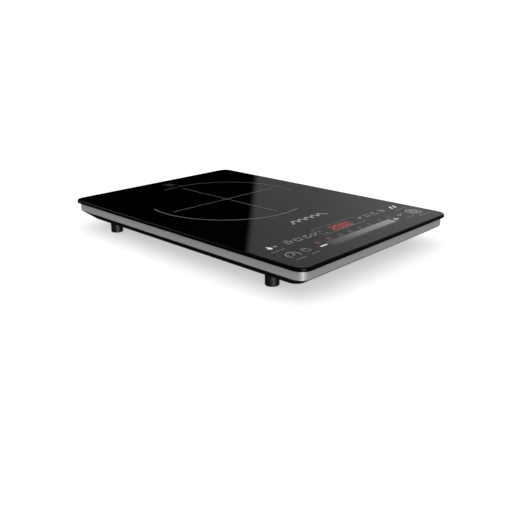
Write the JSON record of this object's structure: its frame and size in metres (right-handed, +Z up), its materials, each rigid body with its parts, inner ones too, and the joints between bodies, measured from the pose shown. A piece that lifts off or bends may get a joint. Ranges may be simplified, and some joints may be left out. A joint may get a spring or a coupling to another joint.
{
  "type": "electric induction cooktop",
  "caption": "Slim portable induction cooktop with a black glass top, metal trim, sloped plastic tray, round feet, touch panel, flat coil, power board and cooling fan.",
  "frame": {"origin": "centre of the object's footprint, on the surface that the feet stand on", "axes": "+X to the right as the user stands at the touch panel, +Y from the touch panel to the rear, +Z up"},
  "size_m": [0.265, 0.375, 0.0357],
  "materials": {
    "adhesive": "black silicone bead",
    "bearing_bronze": "sintered bronze",
    "board_green": "solder mask over glass fibre",
    "can_aluminium": "sleeved aluminium can",
    "ceramic_glass": "polished black ceramic glass with a dark underside coat",
    "component_black": "moulded epoxy",
    "copper_litz": "lacquered stranded copper",
    "fan_plastic": "glass filled polyester",
    "felt": "ceramic fibre felt",
    "ferrite": "sintered ferrite",
    "film_box": "cast resin box",
    "foot_rubber": "black moulded rubber",
    "former_plastic": "glass filled nylon",
    "housing_plastic": "fine moulded texture, black",
    "label_film": "blank silver film",
    "light_diffuser": "milky light guide",
    "mica": "pressed mica",
    "screw_steel": "zinc plated",
    "silicone": "translucent silicone",
    "sink_aluminium": "extruded, bare",
    "terminal_brass": "tinned brass block",
    "trim_metal": "satin anodised",
    "wire_insulation": "silicone insulated wire"
  },
  "bodies": {
    "cooktop": {"board_connectors": "light_diffuser", "board_screws": "screw_steel", "bottom_housing": "housing_plastic", "bridge_rectifier": "component_black", "buzzer": "component_black", "coil_bushes": "silicone", "coil_former": "former_plastic", "coil_leads": "wire_insulation", "coil_screws": "screw_steel", "coil_terminals": "terminal_brass", "control_board": "board_green", "control_bracket": "former_plastic", "control_chips": "component_black", "cord_grommet": "foot_rubber", "electrolytic_capacitors": "can_aluminium", "fan_bearing": "bearing_bronze", "fan_frame": "fan_plastic", "fan_lead": "wire_insulation", "fan_screws": "screw_steel", "fan_stator": "ferrite", "fan_windings": "copper_litz", "ferrite_bars": "ferrite", "film_capacitors": "film_box", "filter_choke": "copper_litz", "foot_front_left": "foot_rubber", "foot_front_right": "foot_rubber", "foot_rear_left": "foot_rubber", "foot_rear_right": "foot_rubber", "foot_screws": "screw_steel", "fuse": "label_film", "glass_adhesive": "adhesive", "glass_plate": "ceramic_glass", "heat_sink": "sink_aluminium", "housing_screws": "screw_steel", "indicator_leds": "light_diffuser", "induction_coil": "copper_litz", "insulation_felt": "felt", "led_display": "component_black", "main_board": "board_green", "mains_terminal": "component_black", "mains_wires": "wire_insulation", "mica_sheet": "mica", "power_transistor": "component_black", "rating_label": "label_film", "ribbon_cable": "label_film", "sensor_holder": "silicone", "sensor_lead": "wire_insulation", "slider_light_guide": "light_diffuser", "temperature_sensor": "silicone", "thermal_pads": "silicone", "touch_springs": "screw_steel", "transformer": "component_black", "trim_frame": "trim_metal"},
    "fan_rotor": {"fan_impeller": "fan_plastic", "fan_magnet": "ferrite", "fan_shaft": "screw_steel"}
  },
  "joints": [
    {"name": "fan_spin", "type": "hinge", "parent": "cooktop", "child": "fan_rotor", "pos_m": [0.074, -0.076, 0.0225], "axis": [0, 0, 1], "continuous": true}
  ]
}
